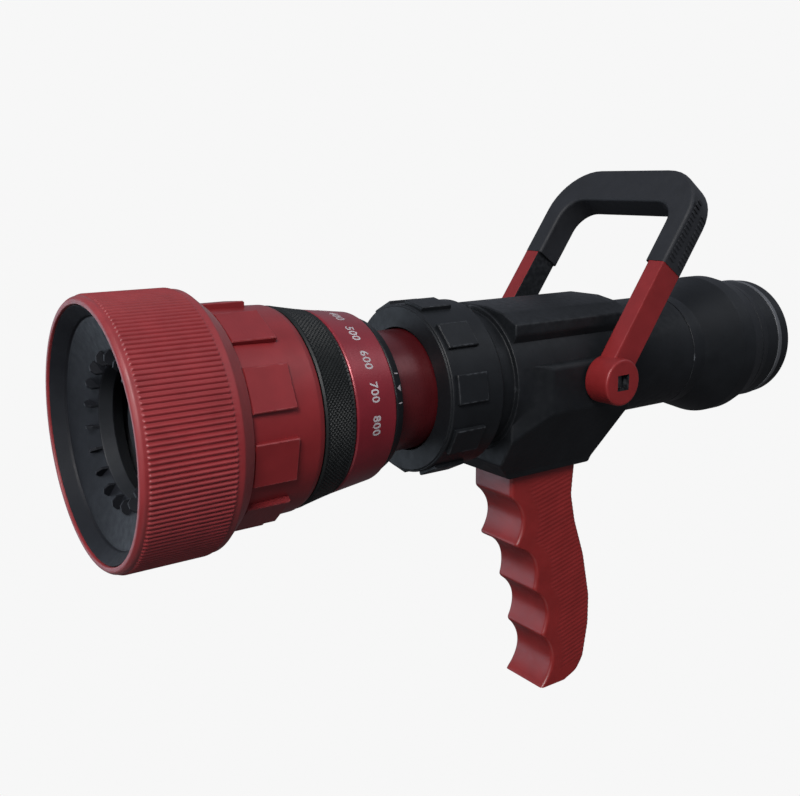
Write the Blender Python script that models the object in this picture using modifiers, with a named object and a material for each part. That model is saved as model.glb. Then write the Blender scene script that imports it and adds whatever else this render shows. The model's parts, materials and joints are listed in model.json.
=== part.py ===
"""Pistol-grip fire hose nozzle, built as separate working pieces.

World frame: +X follows the water, from the hose inlet (x = 0) to the muzzle (x = 370 mm); +Z is up; +Y is
the left-hand side of the nozzle. Lengths below are millimetres and are scaled to metres on the way in.
"""
import math

import bmesh
import bpy
from mathutils import Matrix, Vector

for stale in list(bpy.data.objects):
    bpy.data.objects.remove(stale, do_unlink=True)

MM = 0.001
GAP = 0.3                       # clearance left between neighbouring pieces

# ---- driving dimensions ------------------------------------------------------------------------------
WATERWAY = 19.0                 # bore radius from the hose to the ball
BALL_X = 150.0                  # ball centre and bail pivot, measured from the inlet face
BALL_RADIUS = 25.7
CAVITY_RADIUS = 26.3
TUBE_RADIUS = 28.0              # slim tube behind the valve housing
NOSE_RADIUS = 30.7              # threaded nose that carries the tip collar
BODY_RADIUS = 33.0              # round part of the housing
NOSE_END = 218.0
BODY_FRONT = 196.5
TUBE_REAR = 75.0
BOSS_HALF_WIDTH = 35.4          # flat cheeks the bail hubs run against

BAIL_LEAN = math.radians(35.6)  # the open bail leans this far back from upright
BAIL_INNER = 36.0
BAIL_OUTER = 45.0
BAIL_HALF_DEPTH = 7.0
BAIL_TOP = 107.5
BAIL_BAR = 17.0
COVER_START = 58.0
HUB_RADIUS = 10.5
HUB_END = 49.5

BARREL_RADIUS = 26.5
COLLAR_RADIUS = 36.4
LUG_COUNT = 10
LUG_PHASE = 8.0                 # degrees from +Y towards +Z
PAD_COUNT = 10
PAD_PHASE = 24.0
TOOTH_COUNT = 19
TOOTH_PHASE = 16.5
STEM_RADIUS = 4.0               # baffle stem

GRIP_HALF_WIDTH = 13.5
GRIP_FOOT = -159.5
GRIP_EDGE = 2.2                 # chamfer along the grip's edges
BOLT_RADIUS = 3.2
BOLT_CLEARANCE = 3.6

BIG = 28                        # facets round a large turned piece
SMALL = 20                      # facets round a small one

# ---- scene helpers -----------------------------------------------------------------------------------
parts = bpy.data.collections.new("fire_hose_nozzle")
shaping = bpy.data.collections.new("cutters")
bpy.context.scene.collection.children.link(parts)
bpy.context.scene.collection.children.link(shaping)

FINISHES = {
    "red_metal": ((0.225, 0.013, 0.022, 1.0), 0.34, 0.55),
    "crimson_metal": ((0.285, 0.016, 0.034, 1.0), 0.30, 0.60),
    "red_rubber": ((0.240, 0.030, 0.042, 1.0), 0.62, 0.0),
    "red_grip": ((0.200, 0.013, 0.020, 1.0), 0.52, 0.0),
    "black_metal": ((0.016, 0.018, 0.021, 1.0), 0.42, 0.50),
    "black_rubber": ((0.018, 0.019, 0.022, 1.0), 0.70, 0.0),
    "black_plastic": ((0.020, 0.022, 0.026, 1.0), 0.50, 0.0),
    "steel": ((0.42, 0.43, 0.44, 1.0), 0.30, 1.0),
    "grey_ring": ((0.11, 0.115, 0.12, 1.0), 0.38, 0.80),
    "seat_white": ((0.74, 0.73, 0.70, 1.0), 0.45, 0.0),
}
materials = {}
for finish_name, (colour, roughness, metallic) in FINISHES.items():
    material = bpy.data.materials.new(finish_name)
    material.use_nodes = True
    shader = material.node_tree.nodes["Principled BSDF"]
    shader.inputs["Base Color"].default_value = colour
    shader.inputs["Roughness"].default_value = roughness
    shader.inputs["Metallic"].default_value = metallic
    materials[finish_name] = material


def register(name, mesh, finish, cutter=False, smooth=False):
    """Put a mesh in the scene as a part, or as a hidden shaping tool."""
    thing = bpy.data.objects.new(name, mesh)
    (shaping if cutter else parts).objects.link(thing)
    if cutter:
        thing.hide_render = True
        thing.display_type = "WIRE"
    else:
        own = materials[finish].copy()
        own.name = f"{name}_{finish}"
        mesh.materials.append(own)
    if smooth:
        for face in mesh.polygons:
            face.use_smooth = True
    return thing


def turned(name, profile, finish=None, steps=BIG, closed=True, origin=(0.0, 0.0, 0.0)):
    """Revolve an (x, radius) profile about the X axis; the outer side runs from the muzzle to the inlet."""
    mesh = bpy.data.meshes.new(name)
    points = [((x - origin[0]) * MM, radius * MM, 0.0) for x, radius in profile]
    edges = [(i, i + 1) for i in range(len(points) - 1)]
    if closed:
        edges.append((len(points) - 1, 0))
    mesh.from_pydata(points, edges, [])
    thing = register(name, mesh, finish, cutter=finish is None)
    thing.location = Vector(origin) * MM
    screw = thing.modifiers.new("turn", "SCREW")
    screw.axis = "X"
    screw.angle = math.tau
    screw.steps = steps
    screw.render_steps = steps
    screw.use_merge_vertices = True
    screw.merge_threshold = 0.00005
    screw.use_smooth_shade = True
    return thing


def ring(name, x_rear, x_front, r_inner, r_outer, finish=None, steps=BIG):
    profile = [(x_front, r_outer), (x_rear, r_outer), (x_rear, r_inner), (x_front, r_inner)]
    return turned(name, profile, finish, steps)


def disc(name, x_rear, x_front, radius, finish=None, steps=BIG):
    profile = [(x_front, 0), (x_front, radius), (x_rear, radius), (x_rear, 0)]
    return turned(name, profile, finish, steps, closed=False)


def block_mesh(name, boxes):
    """One mesh holding several boxes, each given as (low corner, high corner, turn about X in degrees)."""
    shape = bmesh.new()
    for low, high, turn in boxes:
        size = [(b - a) * MM for a, b in zip(low, high)]
        centre = [(a + b) / 2 * MM for a, b in zip(low, high)]
        upright = Matrix.Translation(centre) @ Matrix.Diagonal((*size, 1))
        bmesh.ops.create_cube(shape, size=1.0, matrix=Matrix.Rotation(math.radians(turn), 4, "X") @ upright)
    mesh = bpy.data.meshes.new(name)
    shape.to_mesh(mesh)
    shape.free()
    return mesh


def blocks(name, boxes, finish=None):
    return register(name, block_mesh(name, boxes), finish, cutter=finish is None)


def rod(name, start, end, radius, finish=None, sides=SMALL, smooth=True):
    """A plain cylinder between two points."""
    a, b = Vector(start) * MM, Vector(end) * MM
    place = Matrix.Translation((a + b) / 2) @ (b - a).to_track_quat("Z", "Y").to_matrix().to_4x4()
    shape = bmesh.new()
    bmesh.ops.create_cone(shape, cap_ends=True, segments=sides, radius1=radius * MM, radius2=radius * MM,
                          depth=(b - a).length, matrix=place)
    mesh = bpy.data.meshes.new(name)
    shape.to_mesh(mesh)
    shape.free()
    return register(name, mesh, finish, cutter=finish is None, smooth=smooth)


def plate(name, outline, half_depth, place, finish=None, edge=0.0):
    """A flat outline (closed list of 2-D points) thickened both ways and set by a matrix."""
    curve = bpy.data.curves.new(name, "CURVE")
    curve.dimensions = "2D"
    curve.fill_mode = "BOTH"
    curve.extrude = (half_depth - edge) * MM
    curve.bevel_depth = edge * MM
    curve.bevel_resolution = 1
    curve.offset = -edge * MM
    spline = curve.splines.new("POLY")
    spline.points.add(len(outline) - 1)
    for point, (across, along) in zip(spline.points, outline):
        point.co = (across * MM, along * MM, 0.0, 1.0)
    spline.use_cyclic_u = True
    rough = bpy.data.objects.new(name + "_outline", curve)
    shaping.objects.link(rough)
    bpy.context.view_layer.update()
    mesh = bpy.data.meshes.new_from_object(rough.evaluated_get(bpy.context.evaluated_depsgraph_get()))
    bpy.data.objects.remove(rough, do_unlink=True)
    shape = bmesh.new()
    shape.from_mesh(mesh)
    bmesh.ops.remove_doubles(shape, verts=shape.verts, dist=0.00002)
    bmesh.ops.transform(shape, matrix=place, verts=shape.verts)
    bmesh.ops.recalc_face_normals(shape, faces=shape.faces)
    shape.to_mesh(mesh)
    shape.free()
    mesh.name = name
    mesh.materials.clear()
    return register(name, mesh, finish, cutter=finish is None)


def combine(target, tool, how):
    modifier = target.modifiers.new(f"{how.lower()}_{tool.name}"[:60], "BOOLEAN")
    modifier.operation = how
    modifier.solver = "EXACT"
    modifier.object = tool


def cut(target, *tools):
    for tool in tools:
        combine(target, tool, "DIFFERENCE")


def join(target, *tools):
    for tool in tools:
        combine(target, tool, "UNION")


def keep_common(target, *tools):
    for tool in tools:
        combine(target, tool, "INTERSECT")


def frame_matrix(x_axis, y_axis, origin=(0.0, 0.0, 0.0)):
    """Matrix whose first two columns are the given directions."""
    across, along = Vector(x_axis).normalized(), Vector(y_axis).normalized()
    normal = across.cross(along)
    matrix = Matrix((across, along, normal)).transposed().to_4x4()
    return Matrix.Translation(Vector(origin) * MM) @ matrix


SIDE_VIEW = frame_matrix((1, 0, 0), (0, 0, 1))      # outline (x, z), thickened along Y
END_VIEW = frame_matrix((0, 1, 0), (0, 0, 1))       # outline (y, z), thickened along X
PLAN_VIEW = frame_matrix((1, 0, 0), (0, 1, 0))      # outline (x, y), thickened along Z


def mirrored(half):
    """Close a symmetric outline from its right half, given from bottom to top."""
    return list(half) + [(-across, along) for across, along in reversed(half)]


def round_about(count, phase, low, high):
    return [(low, high, phase + index * 360.0 / count) for index in range(count)]


# ---- valve body --------------------------------------------------------------------------------------
BODY_REAR = 131.0
valve_body = turned("valve_body", [
    (NOSE_END, 0), (NOSE_END, NOSE_RADIUS), (BODY_FRONT, NOSE_RADIUS), (BODY_FRONT, BODY_RADIUS),
    (BODY_REAR, BODY_RADIUS), (BODY_REAR - 7, TUBE_RADIUS), (TUBE_REAR, TUBE_RADIUS), (TUBE_REAR, 0)],
    "black_metal", closed=False)

HOUSING_FLOOR = -45.5
BEYOND = 80.0                   # half length of a shaping tool that reaches past the housing on all sides
housing = plate("housing_side", [
    (196.2, 9.0), (196.2, -36.5), (187.0, HOUSING_FLOOR), (136.5, HOUSING_FLOOR), (119.0, 9.0)],
    BOSS_HALF_WIDTH, SIDE_VIEW)
housing_section = plate("housing_section", mirrored([
    (17.5, HOUSING_FLOOR - 1), (18.5, HOUSING_FLOOR + 3), (BOSS_HALF_WIDTH, -13.0), (BOSS_HALF_WIDTH, 7.0),
    (33.0, 9.5)]), 3 * BEYOND, END_VIEW)
plan_left = [
    (200, 27), (193, 30), (178, BOSS_HALF_WIDTH), (BODY_REAR, BOSS_HALF_WIDTH), (117, 27), (105, 20)]
plan_right = [(x, -y) for x, y in reversed(plan_left)]
housing_plan = plate("housing_plan", plan_left + plan_right, BEYOND, PLAN_VIEW)
keep_common(housing, housing_section, housing_plan)

TOP_PAD_REAR, TOP_PAD_FRONT = 124.2, 195.0
top_pad = plate("top_pad", mirrored([(26.5, 18.0), (29.0, 22.5), (29.0, 27.2), (20.0, 31.5), (9.0, 33.4)]),
                (TOP_PAD_FRONT - TOP_PAD_REAR) / 2,
                END_VIEW @ Matrix.Translation((0, 0, (TOP_PAD_FRONT + TOP_PAD_REAR) / 2 * MM)))
join(valve_body, housing, top_pad)

STEM_WAY = 9.0                  # bore across the housing for the ball's stems
SPIGOT_WAY = 24.4               # bore that takes the adapter's spigot
water_passage = turned("water_passage", [
    (240, 0), (240, CAVITY_RADIUS), (125, CAVITY_RADIUS), (125, WATERWAY), (92, WATERWAY), (92, SPIGOT_WAY),
    (60, SPIGOT_WAY), (60, 0)], closed=False)
cut(valve_body, water_passage, rod("stem_way", (BALL_X, -60, 0), (BALL_X, 60, 0), STEM_WAY))

# ---- inlet: adapter, swivel coupling, washer and strainer --------------------------------------------
turned("inlet_adapter", [
    (91.5, 24.0), (TUBE_REAR - GAP, 24.0), (TUBE_REAR - GAP, TUBE_RADIUS), (66.7, TUBE_RADIUS),
    (44.5, 36.1), (35.8, 36.1), (26.2, 33.6), (26.2, 24.2), (24.4, 24.2), (24.4, 22.6), (20.6, 22.6), (20.6, 24.2), (16, 24.2),
    (16, WATERWAY), (91.5, WATERWAY)], "black_metal")
turned("inlet_swivel", [
    (25.9, 32.8), (25.3, 33.3), (19.2, 31.7), (10.6, 31.7), (10.6, 29.8), (7.4, 29.8), (7.4, 31.4),
    (1.2, 31.4), (0, 30.2), (0, 25.0), (16.2, 25.0), (16.2, 24.6), (20.6, 24.6), (20.6, 26.6), (24.4, 26.6), (24.4, 24.6),
    (25.9, 24.6)], "black_metal")
ring("swivel_race", 20.9, 24.1, 22.9, 26.2, "steel")
ring("wear_ring", 7.7, 10.3, 30.15, 32.0, "grey_ring")
ring("inlet_gasket", 12.9, 15.7, 19.4, 24.6, "black_rubber")
inlet_screen = disc("inlet_screen", 17.0, 18.2, 18.6, "steel", steps=SMALL)
HOLE_CIRCLE, HOLE_RADIUS, OUTER_HOLES = 11.5, 4.4, 6
hole_centres = [(0.0, 0.0)]
for index in range(OUTER_HOLES):
    turn = index * math.tau / OUTER_HOLES
    hole_centres.append((HOLE_CIRCLE * math.cos(turn), HOLE_CIRCLE * math.sin(turn)))
for index, (y_hole, z_hole) in enumerate(hole_centres):
    cut(inlet_screen, rod(f"screen_hole_{index}", (10, y_hole, z_hole), (25, y_hole, z_hole), HOLE_RADIUS,
                          sides=8))

# ---- shut-off ball, seats and stems ------------------------------------------------------------------
BALL_BORE = 18.5
bore_angle = math.asin(BALL_BORE / BALL_RADIUS)
ARC_STEPS = 10
ball_profile = []
for index in range(ARC_STEPS + 1):
    angle = bore_angle + (math.pi - 2 * bore_angle) * index / ARC_STEPS
    ball_profile.append((BALL_X + BALL_RADIUS * math.cos(angle), BALL_RADIUS * math.sin(angle)))
shutoff_ball = turned("shutoff_ball", ball_profile, "steel", origin=(BALL_X, 0, 0))
TRUNNION_RADIUS, TRUNNION_INNER, TRUNNION_OUTER = 6.0, 20.1, 35.7
for side, label in ((1, "left"), (-1, "right")):
    cut(shutoff_ball, rod(f"stem_socket_{label}", (BALL_X, side * (TRUNNION_INNER - 0.4), 0),
                          (BALL_X, side * 60, 0), TRUNNION_RADIUS + 0.4))


def seat_profile(side):
    """Seat ring whose sloped face stands just clear of the ball; side is +1 for the muzzle side."""
    outline = [(25.0, 19.4), (18.0, 19.4), (11.8, 23.6), (11.8, 25.9), (25.0, 25.9)]
    points = [(BALL_X + side * along, radius) for along, radius in outline]
    return points if side < 0 else points[::-1]


turned("rear_seat", seat_profile(-1), "seat_white")
turned("front_seat", seat_profile(1), "seat_white")
turned("seat_carrier", [
    (217.6, 26.0), (199.0, 26.0), (199.0, 24.0), (195.6, 24.0), (195.6, 26.0), (175.3, 26.0),
    (175.3, 19.3), (217.6, 19.3)], "steel")
ring("carrier_oring", 195.9, 198.7, 24.25, 26.0, "black_rubber")

SHANK_HALF = 3.2                # the square end that drives the bail's hub
STEM_SLEEVES = (("stem_oring", 27.0, 29.8, "black_rubber"), ("stem_bush", 30.1, 35.1, "seat_white"))
for side, label in ((1, "left"), (-1, "right")):
    trunnion = rod(f"trunnion_{label}", (BALL_X, side * TRUNNION_INNER, 0),
                   (BALL_X, side * TRUNNION_OUTER, 0), TRUNNION_RADIUS, "steel")
    shank_low, shank_high = sorted((side * 35.0, side * 45.6))
    join(trunnion, blocks(f"square_shank_{label}", [
        ((BALL_X - SHANK_HALF, shank_low, -SHANK_HALF),
         (BALL_X + SHANK_HALF, shank_high, SHANK_HALF), 0)]))
    for piece, inner, outer, finish in STEM_SLEEVES:
        sleeve = rod(f"{piece}_{label}", (BALL_X, side * inner, 0), (BALL_X, side * outer, 0), STEM_WAY - 0.4,
                     finish)
        cut(sleeve, rod(f"{piece}_bore_{label}", (BALL_X, side * 20, 0), (BALL_X, side * 50, 0),
                        TRUNNION_RADIUS + 0.35))

# ---- bail: fork, rubber cover ------------------------------------------------------------------------
BAIL_UP = Vector((-math.sin(BAIL_LEAN), 0, math.cos(BAIL_LEAN)))
BAIL_VIEW = frame_matrix((0, 1, 0), BAIL_UP, (BALL_X, 0, 0))    # outline (y, distance up the bail)


def corner(centre, radius, first, last, steps=5):
    return [(centre[0] + radius * math.cos(math.radians(first + (last - first) * i / steps)),
             centre[1] + radius * math.sin(math.radians(first + (last - first) * i / steps)))
            for i in range(steps + 1)]


def bail_outline(start, inner, outer, bar_low, bar_high, outer_round, inner_round):
    """Closed U outline from the arm ends at 'start' to the cross bar."""
    right = [(outer, start)]
    right += corner((outer - outer_round, bar_high - outer_round), outer_round, 0, 90)
    inside = [(-across, along) for across, along in
              [(inner, start)] + corner((inner - inner_round, bar_low - inner_round), inner_round, 0, 90)]
    left = [(-across, along) for across, along in reversed(right)]
    return right + left + inside + [(-across, along) for across, along in reversed(inside)]


CORE_IN, CORE_OUT, CORE_HALF_DEPTH = 38.6, 42.4, 3.3
CORE_BAR_LOW, CORE_BAR_TOP = 96.0, 101.0
COVER_SKIN = 0.3                # how far the cover stands proud of the arms
COVER_ROUND, CORE_ROUND, INNER_ROUND = 20.0, 14.0, 11.0
CORE_START = COVER_START - 6
cover = plate("bail_cover", bail_outline(
    COVER_START, BAIL_INNER - COVER_SKIN - 0.1, BAIL_OUTER + COVER_SKIN, BAIL_TOP - BAIL_BAR, BAIL_TOP,
    COVER_ROUND, INNER_ROUND), BAIL_HALF_DEPTH + COVER_SKIN, BAIL_VIEW, "black_rubber")
cut(cover, plate("core_room", bail_outline(
    CORE_START, CORE_IN - GAP, CORE_OUT + GAP, CORE_BAR_LOW - GAP, CORE_BAR_TOP + GAP,
    CORE_ROUND, INNER_ROUND), CORE_HALF_DEPTH + GAP, BAIL_VIEW))

fork = plate("bail_fork", bail_outline(
    CORE_START, CORE_IN, CORE_OUT, CORE_BAR_LOW, CORE_BAR_TOP, CORE_ROUND, INNER_ROUND),
    CORE_HALF_DEPTH, BAIL_VIEW, "red_metal")
for side, label in ((1, "left"), (-1, "right")):
    arm_end = COVER_START - GAP
    arm_outline = [(side * BAIL_INNER, 0), (side * BAIL_OUTER, 0), (side * BAIL_OUTER, arm_end),
                   (side * BAIL_INNER, arm_end)]
    join(fork, plate(f"arm_{label}", arm_outline, BAIL_HALF_DEPTH, BAIL_VIEW),
         rod(f"hub_{label}", (BALL_X, side * BAIL_INNER, 0), (BALL_X, side * HUB_END, 0), HUB_RADIUS,
             sides=24))
SOCKET_HALF = SHANK_HALF + GAP
for side, label in ((1, "left"), (-1, "right")):
    socket_low, socket_high = sorted((side * 30.0, side * 55.0))
    cut(fork, blocks(f"hub_socket_{label}", [
        ((BALL_X - SOCKET_HALF, socket_low, -SOCKET_HALF),
         (BALL_X + SOCKET_HALF, socket_high, SOCKET_HALF), 0)]))

# ---- pistol grip -------------------------------------------------------------------------------------
GRIP_TOP = HOUSING_FLOOR - GAP
FINGER_TIPS = [(181.0, GRIP_TOP), (181.0, -56.5), (177.8, -81.0), (165.6, -106.0), (159.0, -131.0),
               (159.6, GRIP_FOOT)]
GROOVE_DEPTH = 6.6
GROOVE_STEPS = 5
front_edge = [FINGER_TIPS[0]]
for upper, lower in zip(FINGER_TIPS[1:], FINGER_TIPS[2:]):
    span = Vector((lower[0] - upper[0], lower[1] - upper[1]))
    inward = Vector((span.y, -span.x)).normalized()
    for index in range(GROOVE_STEPS):
        share = index / GROOVE_STEPS
        depth = GROOVE_DEPTH * math.sin(math.pi * share) ** 0.8 if index else 0.0
        point = Vector(upper) + span * share + inward * depth
        front_edge.append((point.x, point.y))
back_edge = [FINGER_TIPS[-1], (145.0, GRIP_FOOT), (136.0, -157.4), (131.0, -150.5), (128.2, -133.0),
             (128.2, -118.0), (133.0, -95.0), (139.5, -76.0), (142.4, -62.0), (142.0, GRIP_TOP)]
grip = plate("pistol_grip", front_edge + back_edge, GRIP_HALF_WIDTH, SIDE_VIEW, "red_grip", edge=GRIP_EDGE)

BOLT_TOP, BOLT_FOOT = Vector((161.0, 0, -33.0)), Vector((145.5, 0, -163.0))
HEAD_RADIUS, HEAD_CLEARANCE, KEY_RADIUS = 5.6, 6.4, 2.6
bolt_way = (BOLT_FOOT - BOLT_TOP).normalized()
cut(grip, rod("bolt_passage", BOLT_TOP, BOLT_FOOT, BOLT_CLEARANCE, sides=12),
    rod("bolt_counterbore", BOLT_FOOT - bolt_way * 12, BOLT_FOOT + bolt_way * 4, HEAD_CLEARANCE, sides=16))
cut(valve_body, rod("bolt_thread", BOLT_TOP, BOLT_TOP + bolt_way * 30, BOLT_CLEARANCE, sides=12))
grip_bolt = rod("grip_bolt", BOLT_TOP + bolt_way, BOLT_FOOT - bolt_way * 10.2, BOLT_RADIUS, "steel", sides=12)
join(grip_bolt, rod("bolt_head", BOLT_FOOT - bolt_way * 11.6, BOLT_FOOT - bolt_way * 6, HEAD_RADIUS, sides=16))
cut(grip_bolt, rod("bolt_socket", BOLT_FOOT - bolt_way * 8.8, BOLT_FOOT, KEY_RADIUS, sides=6))

# ---- tip collar, gasket and barrel -------------------------------------------------------------------
tip_collar = turned("tip_collar", [
    (235.0, 34.6), (234.2, 34.9), (234.2, 35.5), (233.2, COLLAR_RADIUS), (208.2, COLLAR_RADIUS), (207.0, 35.4),
    (207.0, 31.2), (226.5, 31.2), (226.5, BARREL_RADIUS + 0.5), (235.0, BARREL_RADIUS + 0.5)], "black_metal")
join(tip_collar, blocks("collar_lugs", round_about(
    LUG_COUNT, LUG_PHASE, (217.0, 33.5, -5.9), (232.4, 37.8, 5.9))))
ring("tip_gasket", 218.3, 220.7, 19.6, 30.4, "black_rubber")
barrel = turned("barrel", [
    (338.0, 23.4), (326.0, 23.4), (325.0, BARREL_RADIUS), (226.2, BARREL_RADIUS), (226.2, 30.8), (221.0, 30.8),
    (221.0, 18.5), (297.0, 18.5), (303.0, 20.5), (338.0, 20.5)], "red_metal")
KEY_HALF = 2.0
DETENT_X = 270.0
cut(barrel, blocks("key_pocket", [((298.4, -KEY_HALF - GAP, 24.2), (324.6, KEY_HALF + GAP, 30.0), 0)]),
    rod("detent_pocket", (DETENT_X, 0, -21.8), (DETENT_X, 0, -30.0), 2.4, sides=12))
blocks("guide_key", [((298.7, -KEY_HALF, 24.6), (324.3, KEY_HALF, 28.8), 0)], "steel")
DETENT_BALL = 2.0
detent_shape = bmesh.new()
bmesh.ops.create_uvsphere(detent_shape, u_segments=10, v_segments=6, radius=DETENT_BALL * MM,
                          matrix=Matrix.Translation((DETENT_X * MM, 0, -24.3 * MM)))
detent_mesh = bpy.data.meshes.new("detent_ball")
detent_shape.to_mesh(detent_mesh)
detent_shape.free()
register("detent_ball", detent_mesh, "steel", smooth=True)

# ---- flow selector -----------------------------------------------------------------------------------
turned("index_ring", [
    (260.8, 33.5), (260.0, 34.0), (256.2, 32.2), (255.6, 31.2), (255.6, 26.9), (260.8, 26.9)], "black_metal")
turned("flow_ring", [
    (296.1, 29.7), (281.0, 29.7), (281.0, 37.2), (280.2, 37.6), (262.0, 35.3), (261.1, 34.5), (261.1, 26.9),
    (296.1, 26.9)], "crimson_metal")
turned("knurled_band", [
    (296.1, 39.8), (295.4, 40.4), (282.0, 37.9), (281.3, 37.3), (281.3, 30.0), (296.1, 30.0)], "black_rubber")

# ---- pattern sleeve, bumper and fog bowl -------------------------------------------------------------
sleeve = turned("shaper_sleeve", [
    (361.0, 42.0), (327.0, 42.0), (299.0, 41.0), (296.6, 40.0), (296.6, 34.6), (312.9, 34.6),
    (312.9, 30.2), (318.0, 30.2), (318.0, 38.0), (361.0, 38.0)], "red_metal")
join(sleeve, blocks("grip_pads", round_about(PAD_COUNT, PAD_PHASE, (309.0, 38.5, -8.1), (326.7, 43.2, 8.1))))
ring("sleeve_retainer", 296.7, 298.6, 29.6, 34.3, "steel")
guide_ring = ring("guide_ring", 298.9, 312.6, 26.9, 34.3, "steel")
cut(guide_ring, blocks("key_slot", [((290.0, -KEY_HALF - GAP, 20.0), (320.0, KEY_HALF + GAP, 29.1), 0)]))
turned("bumper", [
    (370.0, 48.8), (369.0, 50.0), (333.5, 50.0), (327.2, 44.2), (327.2, 42.4), (361.4, 42.4), (366.9, 46.7),
    (370.0, 46.7)], "red_rubber")
turned("fog_bowl", [
    (369.3, 46.3), (367.2, 46.3), (361.8, 42.0), (361.8, 41.8), (361.4, 37.7), (350.0, 37.7), (350.0, 33.6),
    (360.8, 33.6), (363.6, 41.5), (364.4, 42.0)], "black_plastic")
tooth_ring = turned("tooth_ring", [
    (360.6, 33.3), (346.0, 33.3), (346.0, 30.5), (352.0, 24.4), (357.6, 24.4)], "black_plastic")
join(tooth_ring, blocks("teeth", round_about(
    TOOTH_COUNT, TOOTH_PHASE, (357.0, 25.0, -0.6), (361.8, 29.6, 0.6))))

# ---- baffle ------------------------------------------------------------------------------------------
spider = ring("stem_spider", 316.0, 324.0, 18.0, 20.2, "steel", steps=SMALL)
SPIDER_HUB = 7.0
join(spider, blocks("spider_vanes", round_about(3, 30.0, (316.6, 4.6, -1.0), (323.4, 18.6, 1.0))),
     disc("spider_hub", 315.0, 325.0, SPIDER_HUB, steps=SMALL))
cut(spider, disc("spider_bore", 300.0, 340.0, STEM_RADIUS + 0.35, steps=SMALL))
rod("baffle_stem", (305.0, 0, 0), (344.6, 0, 0), STEM_RADIUS, "steel")
turned("baffle_head", [
    (350.0, 0), (350.0, 14.5), (348.8, 17.0), (346.6, 17.0), (341.0, 9.0), (341.0, STEM_RADIUS + 0.35),
    (345.0, STEM_RADIUS + 0.35), (345.0, 0)], "black_plastic", steps=SMALL + 4, closed=False)
ring("baffle_nut", 305.5, 311.0, STEM_RADIUS + 0.35, SPIDER_HUB, "steel", steps=SMALL)
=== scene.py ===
"""Looks of the pistol-grip fire hose nozzle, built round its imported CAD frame.

World frame: +X follows the water from the hose inlet to the muzzle, +Z is up and +Y is the nozzle's left.
Lengths in this file are millimetres unless a name says otherwise, and MM turns them into metres.
"""
import json
import math
from itertools import product

import bmesh
import bpy
import numpy as np
from mathutils import Matrix, Vector


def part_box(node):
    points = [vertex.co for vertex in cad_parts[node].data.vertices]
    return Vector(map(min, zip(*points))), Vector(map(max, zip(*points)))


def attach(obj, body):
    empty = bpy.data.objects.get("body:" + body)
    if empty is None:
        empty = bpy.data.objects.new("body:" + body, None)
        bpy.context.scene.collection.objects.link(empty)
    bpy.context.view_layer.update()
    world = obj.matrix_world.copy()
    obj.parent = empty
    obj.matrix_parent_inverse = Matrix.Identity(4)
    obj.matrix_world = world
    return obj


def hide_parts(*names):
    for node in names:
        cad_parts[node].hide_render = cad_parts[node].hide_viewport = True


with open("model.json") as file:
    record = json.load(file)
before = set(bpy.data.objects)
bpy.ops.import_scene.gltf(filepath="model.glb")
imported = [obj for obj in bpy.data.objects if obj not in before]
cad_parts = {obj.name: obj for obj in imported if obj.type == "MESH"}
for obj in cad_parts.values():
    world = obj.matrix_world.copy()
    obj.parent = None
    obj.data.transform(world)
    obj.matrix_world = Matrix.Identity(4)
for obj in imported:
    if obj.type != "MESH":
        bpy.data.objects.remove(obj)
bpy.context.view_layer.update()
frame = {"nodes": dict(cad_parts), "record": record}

MM = 0.001
BODY_OF = {node: body for body, members in frame["record"]["behaviour"]["bodies"].items() for node in members}
SLOT_OF = {part["node"]: part["material_slot"] for part in frame["record"]["subparts"]}

ROUND = 144                     # columns round a large turned piece
FINE = 72                       # columns round a small one


def span(node):
    """Rear end, front end and largest radius of a turned CAD node, in millimetres."""
    low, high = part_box(node)
    return low.x / MM, high.x / MM, high.z / MM


# ---- camera -------------------------------------------------------------------------------------------
CAMERA_AT = Vector((0.47670, 0.33977, 0.08844))
CAMERA_RIGHT = Vector((-0.81393, 0.58093, -0.00653))
CAMERA_UP = Vector((-0.13103, -0.17260, 0.97624))
LENS = 44.704

camera_data = bpy.data.cameras.new("camera")
camera_data.lens = LENS
camera_data.sensor_width = 36.0
camera_data.clip_start = 0.01
camera = bpy.data.objects.new("camera", camera_data)
camera_back = CAMERA_RIGHT.cross(CAMERA_UP)
camera.matrix_world = Matrix.Translation(CAMERA_AT) @ Matrix(
    (CAMERA_RIGHT, CAMERA_UP, camera_back)).transposed().to_4x4()
bpy.context.scene.collection.objects.link(camera)
bpy.context.scene.camera = camera

# ---- finishes -----------------------------------------------------------------------------------------
finishes = {}


def add_node(tree, kind, inputs=None, **settings):
    """A shader node with its settings, and its inputs set to values or linked from sockets."""
    node = tree.nodes.new(kind)
    for name, value in settings.items():
        setattr(node, name, value)
    for name, value in (inputs or {}).items():
        if isinstance(value, bpy.types.NodeSocket):
            tree.links.new(value, node.inputs[name])
        else:
            node.inputs[name].default_value = value
    return node


def noise(tree, place, scale, detail=3.0, stretch=(1.0, 1.0, 1.0)):
    """Value of a noise texture whose grain is 1/scale metres, stretched along the axes."""
    mapping = add_node(tree, "ShaderNodeMapping", {"Vector": place, "Scale": stretch})
    texture = add_node(tree, "ShaderNodeTexNoise", {
        "Vector": mapping.outputs[0], "Scale": scale, "Detail": detail})
    return texture.outputs["Fac"]


def rescale(tree, value, low, high, from_low=0.3, from_high=0.7):
    """The value's range from from_low to from_high, spread over low to high."""
    node = add_node(tree, "ShaderNodeMapRange", {
        "Value": value, "From Min": from_low, "From Max": from_high, "To Min": low, "To Max": high})
    return node.outputs[0]


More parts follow.
